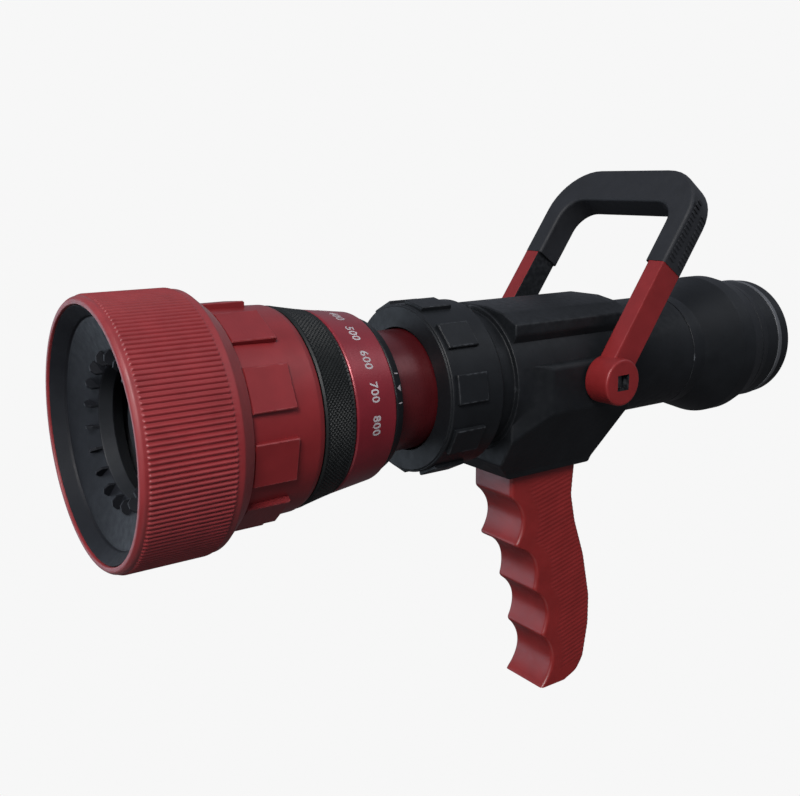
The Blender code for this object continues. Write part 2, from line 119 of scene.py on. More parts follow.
def blend_colour(tree, share, first, second):
    """First colour at share 0, second at share 1; each may be a colour or a socket."""
    node = add_node(tree, "ShaderNodeMix", data_type="RGBA")
    for name, value in (("Factor", share), ("A", first), ("B", second)):
        socket = next(s for s in node.inputs if s.name == name and s.type in ("VALUE", "RGBA") and s.enabled)
        if isinstance(value, bpy.types.NodeSocket):
            tree.links.new(value, socket)
        else:
            socket.default_value = value
    return next(s for s in node.outputs if s.enabled)


def product_of(tree, first, second):
    return add_node(tree, "ShaderNodeMath", {0: first, 1: second}, operation="MULTIPLY").outputs[0]


MOTTLE = 90.0                   # broad colour patches of about 11 mm
SMUDGE = 4.0 * MOTTLE           # patches of roughness, a quarter of that size
WORN_AND_LIT_BREAKS = 420.0                  # breaks in the edge wear and painted edge highlight
EDGE_START, EDGE_FULL = 0.53, 0.60      # pointiness at which the edge wear and painted edge highlight begin and are complete


def make_finish(name, dark, light, rough, metallic=0.0, grain=1400.0, grain_depth=0.00002,
                stretch=(1.0, 1.0, 1.0), specular=0.5, wear_and_highlight_colour=None, wear_and_highlight=0.0, coat=0.0, sheen=0.0):
    """One surface: colour between dark and light, roughness between two values, fine bump, and edges lightened
    partly as wear and partly as painted highlight.
    """
    material = bpy.data.materials.new(name)
    material.use_nodes = True
    tree = material.node_tree
    shader = tree.nodes["Principled BSDF"]
    place = add_node(tree, "ShaderNodeTexCoord").outputs["Object"]
    broad = noise(tree, place, MOTTLE)
    fine = noise(tree, place, grain, 4.0, stretch)
    colour = blend_colour(tree, rescale(tree, broad, 0.0, 1.0), (*dark, 1.0), (*light, 1.0))
    roughness = rescale(tree, noise(tree, place, SMUDGE, 5.0, stretch), rough[0], rough[1])
    # Sharp edges, found by pointiness, are lightened: partly wear, partly a painted highlight where edges catch
    # the light.
    if wear_and_highlight_colour:
        edge = add_node(tree, "ShaderNodeNewGeometry").outputs["Pointiness"]
        worn_and_lit = rescale(tree, edge, 0.0, wear_and_highlight, EDGE_START, EDGE_FULL)
        patchy = rescale(tree, noise(tree, place, WORN_AND_LIT_BREAKS, 6.0), 0.0, 1.0, 0.42, 0.62)
        colour = blend_colour(tree, product_of(tree, worn_and_lit, patchy), colour, (*wear_and_highlight_colour, 1.0))
    bump = add_node(tree, "ShaderNodeBump", {"Height": fine, "Distance": grain_depth, "Strength": 1.0})
    tree.links.new(colour, shader.inputs["Base Color"])
    tree.links.new(roughness, shader.inputs["Roughness"])
    tree.links.new(bump.outputs[0], shader.inputs["Normal"])
    shader.inputs["Metallic"].default_value = metallic
    shader.inputs["Specular IOR Level"].default_value = specular
    shader.inputs["Coat Weight"].default_value = coat
    shader.inputs["Coat Roughness"].default_value = 0.35
    shader.inputs["Sheen Weight"].default_value = sheen
    shader.inputs["Sheen Roughness"].default_value = 0.4
    finishes[name] = material


TURNED = (9.0, 0.6, 0.6)        # grain drawn round the X axis by a lathe

# Each row: name, darker and lighter colour, range of roughness, metallic, grain per metre, its depth in metres.

# The edge colours in these rows are partly wear and partly painted highlight on lit edges.
make_finish("red_metal", (0.144, 0.0102, 0.0118), (0.180, 0.0135, 0.0158), (0.34, 0.46), 0.20, 1500, 0.00001,
            TURNED, specular=0.50, wear_and_highlight_colour=(0.40, 0.15, 0.15), wear_and_highlight=0.5)
# The barrel's red is a darker copy of the red metal, painted shade for the barrel sunk between the bowl and the
# collar, with its own gloss.
make_finish("shaded_barrel_red", (0.058, 0.0050, 0.0066), (0.076, 0.0066, 0.0086), (0.26, 0.36), 0.35, 1500, 0.00001,
            TURNED, specular=0.50)
make_finish("crimson_metal", (0.150, 0.0100, 0.0165), (0.182, 0.0125, 0.0205), (0.28, 0.38), 0.30, 1500,
            0.00001, TURNED, specular=0.45, wear_and_highlight_colour=(0.36, 0.12, 0.14), wear_and_highlight=0.25, coat=0.1)
make_finish("bail_red", (0.142, 0.0086, 0.0090), (0.172, 0.0112, 0.0120), (0.38, 0.50), 0.10, 1900, 0.00002,
            specular=0.40)
make_finish("red_rubber", (0.145, 0.0098, 0.0118), (0.180, 0.0135, 0.0160), (0.44, 0.58), 0.0, 2600, 0.00003,
            sheen=0.05)
make_finish("red_grip", (0.140, 0.0088, 0.0082), (0.170, 0.0114, 0.0108), (0.32, 0.44), 0.0, 2400, 0.00003,
            specular=0.45)
make_finish("black_metal", (0.0040, 0.0047, 0.0056), (0.0062, 0.0071, 0.0084), (0.44, 0.58), 0.0, 1700,
            0.00003, specular=0.20, wear_and_highlight_colour=(0.060, 0.064, 0.070), wear_and_highlight=0.4)
make_finish("turned_black", (0.0040, 0.0047, 0.0056), (0.0062, 0.0071, 0.0084), (0.42, 0.54), 0.0, 1500,
            0.00001, TURNED, specular=0.20, wear_and_highlight_colour=(0.075, 0.080, 0.088), wear_and_highlight=0.8)
# Flat tone painted into bores as painted shade: darker than the red parts round it, and paler than the black
# parts to stand for the dim light in there.
make_finish("painted_bore_shade", (0.0130, 0.0145, 0.0170), (0.0180, 0.0200, 0.0230), (0.44, 0.56), 0.0, 1500,
            0.00001, TURNED, specular=0.35)
make_finish("black_rubber", (0.0058, 0.0066, 0.0084), (0.0088, 0.0098, 0.0122), (0.56, 0.70), 0.0, 2600,
            0.00004, specular=0.35)
make_finish("knurl_black", (0.0030, 0.0040, 0.0040), (0.0048, 0.0060, 0.0060), (0.44, 0.58), 0.0, 2600,
            0.00002, specular=0.28)
make_finish("black_plastic", (0.0060, 0.0067, 0.0085), (0.0085, 0.0094, 0.0118), (0.48, 0.60), 0.0, 2200,
            0.00003, specular=0.14)
make_finish("steel", (0.36, 0.37, 0.39), (0.47, 0.48, 0.49), (0.24, 0.36), 1.0, 1500, 0.00001, TURNED)
make_finish("grey_ring", (0.060, 0.063, 0.068), (0.085, 0.088, 0.094), (0.40, 0.52), 0.3, 1500, 0.00001,
            TURNED)
make_finish("seat_white", (0.62, 0.61, 0.58), (0.70, 0.69, 0.66), (0.40, 0.50), 0.0, 1800, 0.00002)
make_finish("white_print", (0.24, 0.22, 0.23), (0.36, 0.33, 0.34), (0.55, 0.68), 0.0, 2600, 0.00002)

for node, thing in frame["nodes"].items():
    thing.data.materials.clear()
    thing.data.materials.append(finishes[SLOT_OF[node]])

# ---- mesh helpers -------------------------------------------------------------------------------------
SMOOTH_LIMIT = math.radians(34)


def show(name, mesh, node, finish=None, replaces=True, even=True):
    """Place a finished mesh as a piece that rides on its CAD node's body."""
    piece = bpy.data.objects.new(name, mesh)
    bpy.context.scene.collection.objects.link(piece)
    mesh.materials.clear()
    mesh.materials.append(finishes[finish or SLOT_OF[node]])
    mesh.shade_smooth()
    mesh.set_sharp_from_angle(angle=SMOOTH_LIMIT)
    if even:
        weighted = piece.modifiers.new("even_normals", "WEIGHTED_NORMAL")
        weighted.keep_sharp = True
    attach(piece, BODY_OF[node])
    if replaces:
        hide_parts(node)
    return piece


GUARD = 0.6                     # a row this close to a rounded corner keeps its edge wear and painted edge highlight from spreading
CORNER_SHARE = 0.42             # most of a side that one rounded corner may take


def softened(outline, radius, steps=3, closed=True):
    """Round every corner of a two-coordinate outline."""
    result = []
    count = len(outline)
    for index, point in enumerate(outline):
        here = Vector(point)
        if not closed and index in (0, count - 1):
            result.append(tuple(here))
            continue
        to_last = Vector(outline[index - 1]) - here
        to_next = Vector(outline[(index + 1) % count]) - here
        reach = min(radius, CORNER_SHARE * to_last.length, CORNER_SHARE * to_next.length)
        start, end = here + to_last.normalized() * reach, here + to_next.normalized() * reach
        if to_last.length > 2 * (reach + GUARD):
            result.append(tuple(here + to_last.normalized() * (reach + GUARD)))
        for step in range(steps + 1):
            t = step / steps
            result.append(tuple(start * (1 - t) ** 2 + here * 2 * t * (1 - t) + end * t * t))
        if to_next.length > 2 * (reach + GUARD):
            result.append(tuple(here + to_next.normalized() * (reach + GUARD)))
    return result


def with_stations(outline, stations):
    """Add rows at the given x places to a turned outline's outer side, which comes first and runs rearwards."""
    result = list(outline)
    for station in stations:
        for index in range(len(result) - 1):
            (x_a, r_a), (x_b, r_b) = result[index], result[index + 1]
            if x_a > station > x_b:
                share = (x_a - station) / (x_a - x_b)
                result.insert(index + 1, (station, r_a + (r_b - r_a) * share))
                break
    return result


def even_angles(count):
    return [index * math.tau / count for index in range(count)]


def lathe(name, outline, angles=None, relief=None, closed=True):
    """Turn an (x, radius) outline about the X axis. relief(x, radius, angle) may change a point's radius."""
    angles = angles or even_angles(ROUND)
    columns, rows = len(angles), len(outline)
    points = []
    for x, radius in outline:
        for angle in angles:
            r = relief(x, radius, angle) if relief else radius
            points.append((x * MM, r * math.cos(angle) * MM, r * math.sin(angle) * MM))
    faces = []
    for row in range(rows if closed else rows - 1):
        upper, lower = row * columns, (row + 1) % rows * columns
        for column in range(columns):
            beside = (column + 1) % columns
            faces.append((upper + column, lower + column, lower + beside, upper + beside))
    mesh = bpy.data.meshes.new(name)
    mesh.from_pydata(points, [], faces)
    if not closed:
        tidy = bmesh.new()
        tidy.from_mesh(mesh)
        bmesh.ops.remove_doubles(tidy, verts=tidy.verts, dist=1e-7)
        tidy.to_mesh(mesh)
        tidy.free()
    return mesh


def turned(name, node, outline, soft=0.4, closed=True, finish=None, columns=ROUND):
    """Turn an outline with rounded corners and show it in place of its CAD node."""
    mesh = lathe(name, softened(outline, soft, closed=closed), even_angles(columns), closed=closed)
    return show(name, mesh, node, finish)


def corner(centre, radius, first, last, steps=10):
    """Points of an arc between two angles in degrees."""
    return [(centre[0] + radius * math.cos(math.radians(first + (last - first) * i / steps)),
             centre[1] + radius * math.sin(math.radians(first + (last - first) * i / steps)))
            for i in range(steps + 1)]


def solid_of(name, mesh):
    """A scratch object that holds the mesh or curve."""
    thing = bpy.data.objects.new(name, mesh)
    bpy.context.scene.collection.objects.link(thing)
    return thing


def changed(base, steps):
    """Mesh of base after a list of (operation, tool mesh) Booleans; all tools are used up."""
    target = solid_of("work", base)
    tools = []
    for index, (how, mesh) in enumerate(steps):
        tool = solid_of(f"tool_{index}", mesh)
        tools.append(tool)
        modifier = target.modifiers.new(f"step_{index}", "BOOLEAN")
        modifier.operation = how
        modifier.solver = "EXACT"
        modifier.object = tool
    bpy.context.view_layer.update()
    result = bpy.data.meshes.new_from_object(target.evaluated_get(bpy.context.evaluated_depsgraph_get()))
    for thing in [target, *tools]:
        bpy.data.objects.remove(thing, do_unlink=True)
    return result


def prism(name, outline, low, high, place=None, edge=0.0, segments=2, count=1, turn=None):
    """A flat outline (x, y) raised from z = low to high, with rounded edges, set by a matrix and repeated."""
    shape = bmesh.new()
    floor = [shape.verts.new((x * MM, y * MM, low * MM)) for x, y in outline]
    top = [shape.verts.new((x * MM, y * MM, high * MM)) for x, y in outline]
    shape.faces.new(floor[::-1])
    shape.faces.new(top)
    for index in range(len(outline)):
        beside = (index + 1) % len(outline)
        shape.faces.new((floor[index], floor[beside], top[beside], top[index]))
    bmesh.ops.recalc_face_normals(shape, faces=shape.faces)
    if edge:
        rounded = [e for e in shape.edges if e.calc_face_angle(0) > math.radians(12)]
        bmesh.ops.bevel(shape, geom=rounded, offset=edge * MM, segments=segments, profile=0.5, affect="EDGES")
    if place is not None:
        bmesh.ops.transform(shape, matrix=place, verts=shape.verts)
    single = shape.copy()
    for index in range(1, count):
        again = single.copy()
        bmesh.ops.transform(again, matrix=Matrix.Rotation(turn * index, 4, "X"), verts=again.verts)
        copied = bpy.data.meshes.new("copy")
        again.to_mesh(copied)
        again.free()
        shape.from_mesh(copied)
        bpy.data.meshes.remove(copied)
    single.free()
    mesh = bpy.data.meshes.new(name)
    shape.to_mesh(mesh)
    shape.free()
    return mesh


# The outline's x goes along world Y and its y along world Z; its height goes along world X.
ACROSS = Matrix(((0, 0, 1, 0), (1, 0, 0, 0), (0, 1, 0, 0), (0, 0, 0, 1)))
# The outline's x goes along world X and its y along world Z; its height goes along world -Y.
SIDE = Matrix(((1, 0, 0, 0), (0, 0, -1, 0), (0, 1, 0, 0), (0, 0, 0, 1)))


def paint_shade_on(piece, finish, is_shaded):
    """Give the faces whose centre (in millimetres) and normal pass the test a second finish, painted to stand
    for the shade they sit in.
    """
    mesh = piece.data
    mesh.materials.append(finishes[finish])
    for face in mesh.polygons:
        if is_shaded(face.center / MM, face.normal):
            face.material_index = 1


def off_axis(point):
    """Distance from the X axis."""
    return math.hypot(point.y, point.z)


# ---- raised pads and lugs round a turned piece --------------------------------------------------------
PAD_WALL = 0.06                 # how far a pad's side wall leans outwards
PAD_CHAMFER = 0.4


def pad_angles(count, phase, half_width, radius, fill_step=2.5):
    """Columns that follow the edges of evenly spaced pads; the angles are in degrees until the end."""
    half = math.degrees(half_width / radius)
    wall, chamfer, guard = (math.degrees(size / radius) for size in (PAD_WALL, PAD_CHAMFER, GUARD))
    pitch = 360.0 / count
    marks = []
    for index in range(count):
        centre = phase + index * pitch
        marks += [centre + side * (half + shift) for side in (-1, 1)
                  for shift in (wall + guard, wall, 0.0, -chamfer, -chamfer - guard)]
        inner = half - chamfer - guard
        steps = max(2, round(2 * inner / fill_step))
        marks += [centre - inner + 2 * inner * k / steps for k in range(1, steps)]
        gap_start, gap = centre + half + wall + guard, pitch - 2 * (half + wall + guard)
        steps = max(2, round(gap / fill_step))
        marks += [gap_start + gap * k / steps for k in range(1, steps)]
    return [math.radians(mark) for mark in sorted(mark % 360.0 for mark in marks)]


def pad_relief(count, phase, half_width, radius, x_low, x_high, height, skirt):
    """Flat-topped pads of the given height above the axis, on the surface outside the radius 'skirt'."""
    pitch = math.tau / count

    def relief(x, r, angle):
        if r < skirt or not x_low - 1e-6 < x < x_high + 1e-6:
            return r
        off = (angle - math.radians(phase) + pitch / 2) % pitch - pitch / 2
        along = min(x - x_low, x_high - x)
        across = half_width - abs(off) * radius
        inset = min(along, across)
        if inset < -1e-4:
            return r
        top = height / math.cos(off)
        return top if inset > PAD_CHAMFER - 1e-3 else top - PAD_CHAMFER
    return relief


def pad_stations(x_low, x_high):
    """Rows that follow the two ends of the pads."""
    shifts = (PAD_WALL + GUARD, PAD_WALL, 0.0, -PAD_CHAMFER, -PAD_CHAMFER - GUARD)
    return [x_high + shift for shift in shifts] + [x_low - shift for shift in reversed(shifts)]


# ---- bumper: ribbed rubber rim ------------------------------------------------------------------------
RIB_COUNT = 160
RIB_SHAPE = (0.0, 0.0, 0.55, 0.92, 1.0, 0.92, 0.55, 0.0)        # share of the height across one rib
RIB_HEIGHT = 0.65
RIB_END = 0.9                   # length over which a rib rises at its ends
BUMPER_BORE = 7.6               # how far the bumper's bore lies below its rim

rear, front, rim = span("bumper")
rib_low, rib_high = rear + 8.8, front - 2.6
bumper_base = rim - 0.45
bumper_outline = with_stations(softened([
    (front, rim - 1.5), (front - 1.3, bumper_base), (rear + 6.3, bumper_base), (rear, rim - 5.8),
    (rear, rim - BUMPER_BORE), (rear + 34.2, rim - BUMPER_BORE), (front - 3.1, rim - 3.3),
    (front, rim - 3.3)], 0.5),
    [rib_high, rib_high - RIB_END / 3, rib_high - RIB_END, rib_low + RIB_END, rib_low + RIB_END / 3, rib_low])


def rib_relief(x, r, angle):
    if r < bumper_base - 0.2 or not rib_low < x < rib_high:
        return r
    share = RIB_SHAPE[round(angle * RIB_COUNT * len(RIB_SHAPE) / math.tau) % len(RIB_SHAPE)]
    inset = min(x - rib_low, rib_high - x) / RIB_END
    return r + RIB_HEIGHT * share * min(1.0, inset + 0.3)


rib_angles = even_angles(RIB_COUNT * len(RIB_SHAPE))
show("ribbed_bumper", lathe("ribbed_bumper", bumper_outline, rib_angles, rib_relief), "bumper")


# ---- fog bowl with its teeth --------------------------------------------------------------------------
TOOTH_COUNT = 19
TOOTH_PHASE = 16.5              # degrees from +Y towards +Z
_, front, rim = span("fog_bowl")
rear, _, _ = span("tooth_ring")
bore = 24.4
TOOTH_FOOT = bore + 0.1         # clear of the bore, so that the union has no shared faces
TOOTH_HALF = 0.55
BOWL_COLUMNS = 168
bowl = lathe("toothed_bowl", softened([
    (front, rim), (front - 2.1, rim), (front - 7.5, rim - 4.3), (front - 7.5, rim - 4.5),
    (front - 7.9, rim - 8.6), (rear + 4.0, rim - 8.6), (rear + 4.0, 33.3), (rear, 33.3), (rear, 30.5),
    (rear + 6.0, bore), (rear + 11.6, bore), (front - 5.6, 41.3), (front - 5.5, 42.0),
    (front - 4.6, 42.3)], 0.3), even_angles(BOWL_COLUMNS))
tooth_side = [(357.2, TOOTH_FOOT), (360.4, TOOTH_FOOT), (362.0, 26.2), (361.8, 28.4), (360.2, 30.0),
              (357.2, 30.0)]
teeth = prism("teeth", tooth_side, -TOOTH_HALF, TOOTH_HALF,
              Matrix.Rotation(math.radians(TOOTH_PHASE - 90), 4, "X") @ SIDE,
              edge=0.15, count=TOOTH_COUNT, turn=math.tau / TOOTH_COUNT)
toothed_bowl = show("toothed_bowl", changed(bowl, [("UNION", teeth)]), "fog_bowl")
# The bowl's bore and its rearmost 6 mm are painted with the bore tone, paler than the bowl's black, as painted
# light for the dim bore.
paint_shade_on(toothed_bowl, "painted_bore_shade", lambda at, facing: off_axis(at) < bore + 0.05 or at.x < rear + 6.0)
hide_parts("tooth_ring")

# ---- stream shaper sleeve -----------------------------------------------------------------------------
PAD_COUNT, PAD_PHASE, PAD_HALF, PAD_TOP = 10, 24.0, 8.1, 43.2      # count, degrees, half width, height
rear, front, _ = span("shaper_sleeve")
sleeve_radius = 42.0
pad_low, pad_high = front - 52.0, front - 34.3
sleeve_outline = with_stations(softened([
    (front, sleeve_radius), (front - 34.0, sleeve_radius), (rear + 2.4, 41.0), (rear, 40.0), (rear, 34.6),
    (rear + 16.3, 34.6), (rear + 16.3, 30.2), (rear + 21.4, 30.2), (rear + 21.4, 38.0), (front, 38.0)], 0.5),
    pad_stations(pad_low, pad_high))
SLEEVE_SKIRT = 39.0             # only the surface outside this radius carries pads
padded_sleeve = show("padded_sleeve", lathe(
    "padded_sleeve", sleeve_outline, pad_angles(PAD_COUNT, PAD_PHASE, PAD_HALF, sleeve_radius),
    pad_relief(PAD_COUNT, PAD_PHASE, PAD_HALF, sleeve_radius, pad_low, pad_high, PAD_TOP, SLEEVE_SKIRT)),
    "shaper_sleeve")
# The inside of the sleeve is painted dark as painted shade.
paint_shade_on(padded_sleeve, "painted_bore_shade", lambda at, facing: off_axis(at) < 38.5 and at.x > rear + 1.0)

# ---- knurled band -------------------------------------------------------------------------------------
KNURL_COUNT = 140
KNURL_DEPTH = 0.5


def knurled(name, outline, x_low, x_high):
    """Turn an outline whose outer cone, from x_high to x_low, carries points between crossed grooves."""
    columns = 2 * KNURL_COUNT
    top, bottom = outline[0], outline[1]
    pitch = math.tau * top[1] / KNURL_COUNT
    rows_across = 2 * round((x_high - x_low) / pitch)
    rings = []
    for row in range(rows_across + 1):
        share = row / rows_across
        rings.append((top[0] + (bottom[0] - top[0]) * share, top[1] + (bottom[1] - top[1]) * share))
    points, faces = [], []
    for row, (x, radius) in enumerate(rings + outline[2:]):
        worked = 0 < row < rows_across
        for column in range(columns):
            raised = KNURL_DEPTH if worked and (row + column) % 2 else 0.0
            angle = column * math.tau / columns
            r = radius - KNURL_DEPTH + raised if worked else radius
            points.append((x * MM, r * math.cos(angle) * MM, r * math.sin(angle) * MM))
    total = len(rings) + len(outline) - 2
    for row in range(total):
        upper, lower = row * columns, (row + 1) % total * columns
        for column in range(columns):
            beside = (column + 1) % columns
            a, b, c, d = upper + column, lower + column, lower + beside, upper + beside
            if row >= rows_across:
                faces.append((a, b, c, d))
            elif (row + column) % 2:
                faces += [(a, b, d), (b, c, d)]
            else:
                faces += [(a, b, c), (a, c, d)]
    mesh = bpy.data.meshes.new(name)
    mesh.from_pydata(points, [], faces)
    return mesh


rear, front, rim = span("knurled_band")
KNURL_MARGIN = 0.7
knurl_outline = [(front - KNURL_MARGIN, rim), (rear + KNURL_MARGIN, rim - 2.5)]
knurl_outline += softened([(rear, rim - 3.1), (rear, 30.0), (front, 30.0), (front, rim - 0.6)], 0.2,
                          closed=False)
show("diamond_knurl", knurled("diamond_knurl", knurl_outline, rear, front), "knurled_band", "knurl_black",
     even=False)

# ---- flow ring and its numbers ------------------------------------------------------------------------
rear, front, rim = span("flow_ring")
FLOW_FRONT = 281.0
FLOW_FALL = 2.3                 # how much the printed cone loses in radius towards the inlet
turned("selector_ring", "flow_ring", [
    (front, 29.7), (FLOW_FRONT, 29.7), (FLOW_FRONT, rim - 0.4), (FLOW_FRONT - 0.8, rim),
    (rear + 0.9, rim - FLOW_FALL), (rear, rim - 3.1), (rear, 26.9), (front, 26.9)], 0.25)

FLOW_STEP = 20.4
FLOW_FIRST = 96.4               # angle of the lowest number at rest, from +Y towards +Z
NUMBER_HEIGHT = 3.7
PRINT_THICKNESS = 0.16
PRINT_SWELL = 0.09              # how much each stroke is thickened on both sides
DIGIT_SHARE = 0.72              # height of a digit as a share of the font size


def printed(name, texts, wrap):
    """One mesh of flat digits, from (text, angle, x) rows, laid round the axis by the wrap function."""
    points, faces = [], []
    for text, angle, x in texts:
        letters = bpy.data.curves.new(name, "FONT")
        letters.body = text
        letters.align_x = "CENTER"
        letters.align_y = "CENTER"
        letters.size = NUMBER_HEIGHT * MM / DIGIT_SHARE
        letters.space_character = 1.08
        letters.offset = PRINT_SWELL * MM
        letters.extrude = PRINT_THICKNESS / 2 * MM
        letters.resolution_u = 4
        rough = solid_of("letters", letters)
        bpy.context.view_layer.update()
        evaluated = rough.evaluated_get(bpy.context.evaluated_depsgraph_get())
        mesh = bpy.data.meshes.new_from_object(evaluated)
        first = len(points)
        points += [wrap(v.co.x / MM, v.co.y / MM, v.co.z / MM, math.radians(angle), x) for v in mesh.vertices]
        faces += [tuple(first + v for v in face.vertices) for face in mesh.polygons]
        bpy.data.objects.remove(rough, do_unlink=True)
    whole = bpy.data.meshes.new(name)
    whole.from_pydata(points, [], faces)
    tidy = bmesh.new()
    tidy.from_mesh(whole)
    bmesh.ops.remove_doubles(tidy, verts=tidy.verts, dist=1e-6)
    tidy.to_mesh(whole)
    tidy.free()
    return whole


def on_flow_ring(along, up, out, angle, x):
    """Reading runs down the left side, and the tops of the digits point to the inlet."""
    place = x - up
    slope = FLOW_FALL / (FLOW_FRONT - 0.8 - rear - 0.9)
    radius = rim - slope * (FLOW_FRONT - 0.8 - place) + out + 0.01
    turn = angle - along / radius
    return (place * MM, radius * math.cos(turn) * MM, radius * math.sin(turn) * MM)


PRINT_PLACE = FLOW_FRONT - 9.2
numbers = [(str(300 + 100 * index), FLOW_FIRST - FLOW_STEP * index, PRINT_PLACE) for index in range(6)]
show("flow_numbers", printed("flow_numbers", numbers, on_flow_ring), "flow_ring", "white_print",
     replaces=False, even=False)

# ---- index ring and its mark --------------------------------------------------------------------------
rear, front, rim = span("index_ring")
INDEX_ANGLE = 15.1              # degrees from +Y towards +Z
INDEX_FALL = 1.8
turned("index_band", "index_ring", [
    (front, rim - 0.5), (front - 0.8, rim), (rear + 0.6, rim - INDEX_FALL), (rear, rim - 2.8), (rear, 26.9),
    (front, 26.9)], 0.25, finish="turned_black")


def index_marks():
    """A triangle at the index and a short tick on each side of it, half a flow step away."""
    slope = INDEX_FALL / (front - 0.8 - rear - 0.6)
    shapes = [(INDEX_ANGLE, [(-1.3, 0.5), (1.3, 0.5), (0.0, -1.7)])]
    shapes += [(INDEX_ANGLE + side * FLOW_STEP / 2, [(-0.22, 0.6), (0.22, 0.6), (0.22, -1.5), (-0.22, -1.5)])
               for side in (-1, 1)]
    points, faces = [], []
    for centre, outline in shapes:
        first, count = len(points), len(outline)
        for lift in (-0.15, 0.08):
            for across, up in outline:
                place = front - 3.2 - up
                radius = rim - slope * (front - 0.8 - place) + lift
                turn = math.radians(centre) - across / radius
                points.append((place * MM, radius * math.cos(turn) * MM, radius * math.sin(turn) * MM))
        faces.append(tuple(range(first + count - 1, first - 1, -1)))
        faces.append(tuple(range(first + count, first + 2 * count)))
        for index in range(count):
            beside = (index + 1) % count
            faces.append((first + index, first + beside, first + count + beside, first + count + index))
    mesh = bpy.data.meshes.new("index_marks")
    mesh.from_pydata(points, [], faces)
    tidy = bmesh.new()
    tidy.from_mesh(mesh)
    bmesh.ops.recalc_face_normals(tidy, faces=tidy.faces)
    tidy.to_mesh(mesh)
    tidy.free()
    return mesh


show("index_marks", index_marks(), "index_ring", "white_print", replaces=False, even=False)

# ---- barrel, tip collar -------------------------------------------------------------------------------
BARREL_RADIUS = 25.8
rear, front, flange = span("barrel")
barrel_tube = turned("barrel_tube", "barrel", [
    (front, 23.4), (front - 12.0, 23.4), (front - 13.0, BARREL_RADIUS), (rear + 5.2, BARREL_RADIUS),
    (rear + 5.2, flange), (rear, flange), (rear, 18.5), (front - 41.0, 18.5), (front - 35.0, 20.5),
    (front, 20.5)], 0.4, finish="shaded_barrel_red")
# The barrel's nose, past NOSE_START, and its bore are painted dark as painted shade inside the bowl and the
# bore.
NOSE_START, BARREL_BORE = 300.0, 21.0
paint_shade_on(barrel_tube, "painted_bore_shade", lambda at, facing: at.x > NOSE_START or off_axis(at) < BARREL_BORE)

LUG_COUNT, LUG_PHASE, LUG_HALF, LUG_TOP = 10, 8.0, 5.9, 37.75
COLLAR_SKIRT = 35.6             # only the surface outside this radius carries lugs
COLLAR_BORE = BARREL_RADIUS + 0.7
rear, front, _ = span("tip_collar")
collar_radius = 36.4
lug_low, lug_high = front - 18.0, front - 2.6
collar_outline = with_stations(softened([
    (front, 35.3), (front - 0.6, 35.5), (front - 0.6, 36.0), (front - 1.1, collar_radius),
    (rear + 1.2, collar_radius), (rear, 35.4), (rear, 31.2), (rear + 19.5, 31.2),
    (rear + 19.5, COLLAR_BORE), (front, COLLAR_BORE)], 0.3), pad_stations(lug_low, lug_high))
show("lugged_collar", lathe(
    "lugged_collar", collar_outline, pad_angles(LUG_COUNT, LUG_PHASE, LUG_HALF, collar_radius),
    pad_relief(LUG_COUNT, LUG_PHASE, LUG_HALF, collar_radius, lug_low, lug_high, LUG_TOP, COLLAR_SKIRT)),
    "tip_collar", "turned_black")

# ---- valve housing ------------------------------------------------------------------------------------
low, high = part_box("valve_body")
tube_rear, nose_end = low.x / MM, high.x / MM
cheek = high.y / MM
floor = low.z / MM
housing_front = 196.5
pivot = 150.0
BODY_RADIUS, TUBE_RADIUS = 33.0, 28.0

core = lathe("core", softened([
    (nose_end, 0), (nose_end, 30.7), (housing_front, 30.7), (housing_front, BODY_RADIUS), (131, BODY_RADIUS),
    (124, TUBE_RADIUS), (tube_rear, TUBE_RADIUS), (tube_rear, 0)], 0.6, closed=False),
    even_angles(ROUND), closed=False)

side_outline = [(196.2, 9.0), (196.2, -36.5), (187.0, floor), (136.5, floor), (119.0, 9.0)]
section = [(17.5, floor - 1), (18.5, floor + 3), (cheek, -13.0), (cheek, 7.0), (33.0, 9.5)]
section += [(-y, z) for y, z in reversed(section)]
plan = [(200, 27), (193, 30), (178, cheek), (131, cheek), (117, 27), (105, 20)]
plan += [(x, -y) for x, y in reversed(plan)]
housing = changed(prism("side", side_outline, -60, 60, SIDE),
                  [("INTERSECT", prism("section", section, 60, 260, ACROSS)),
                   ("INTERSECT", prism("plan", plan, -80, 80))])
soft_housing = bmesh.new()
soft_housing.from_mesh(housing)
bmesh.ops.remove_doubles(soft_housing, verts=soft_housing.verts, dist=1e-5)
bmesh.ops.dissolve_limit(soft_housing, angle_limit=math.radians(1.0), verts=soft_housing.verts,
                         edges=soft_housing.edges)
sharp_edges = [e for e in soft_housing.edges if e.calc_face_angle(0) > math.radians(10)]
bmesh.ops.bevel(soft_housing, geom=sharp_edges, offset=1.0 * MM, segments=3, profile=0.5, affect="EDGES",
                clamp_overlap=True)
soft_housing.to_mesh(housing)
soft_housing.free()

pad_section = [(26.5, 18.0), (29.0, 22.5), (29.0, 27.2), (20.0, 31.5), (9.0, high.z / MM)]
pad_section += [(-y, z) for y, z in reversed(pad_section)]
top_pad = prism("top_pad", pad_section, 124.2, 195.0, ACROSS, edge=0.8, segments=3)
passage = lathe("passage", [
    (240, 0), (240, 26.3), (125, 26.3), (125, 19.0), (92, 19.0), (92, 24.4), (60, 24.4), (60, 0)],
    even_angles(ROUND), closed=False)
show("valve_housing", changed(core, [("UNION", housing), ("UNION", top_pad), ("DIFFERENCE", passage)]),
     "valve_body")

# ---- inlet: adapter, swivel coupling, wear ring, washer, strainer -------------------------------------
rear, front, bulge = span("inlet_adapter")
turned("inlet_bulge", "inlet_adapter", [
    (front, 24.0), (tube_rear - 0.3, 24.0), (tube_rear - 0.3, TUBE_RADIUS), (66.7, TUBE_RADIUS), (44.5, bulge),
    (35.8, bulge), (26.2, 33.6), (26.2, 24.2), (24.4, 24.2), (24.4, 22.6), (20.6, 22.6), (20.6, 24.2),
    (rear, 24.2), (rear, 19.0), (front, 19.0)], 0.5, finish="turned_black")

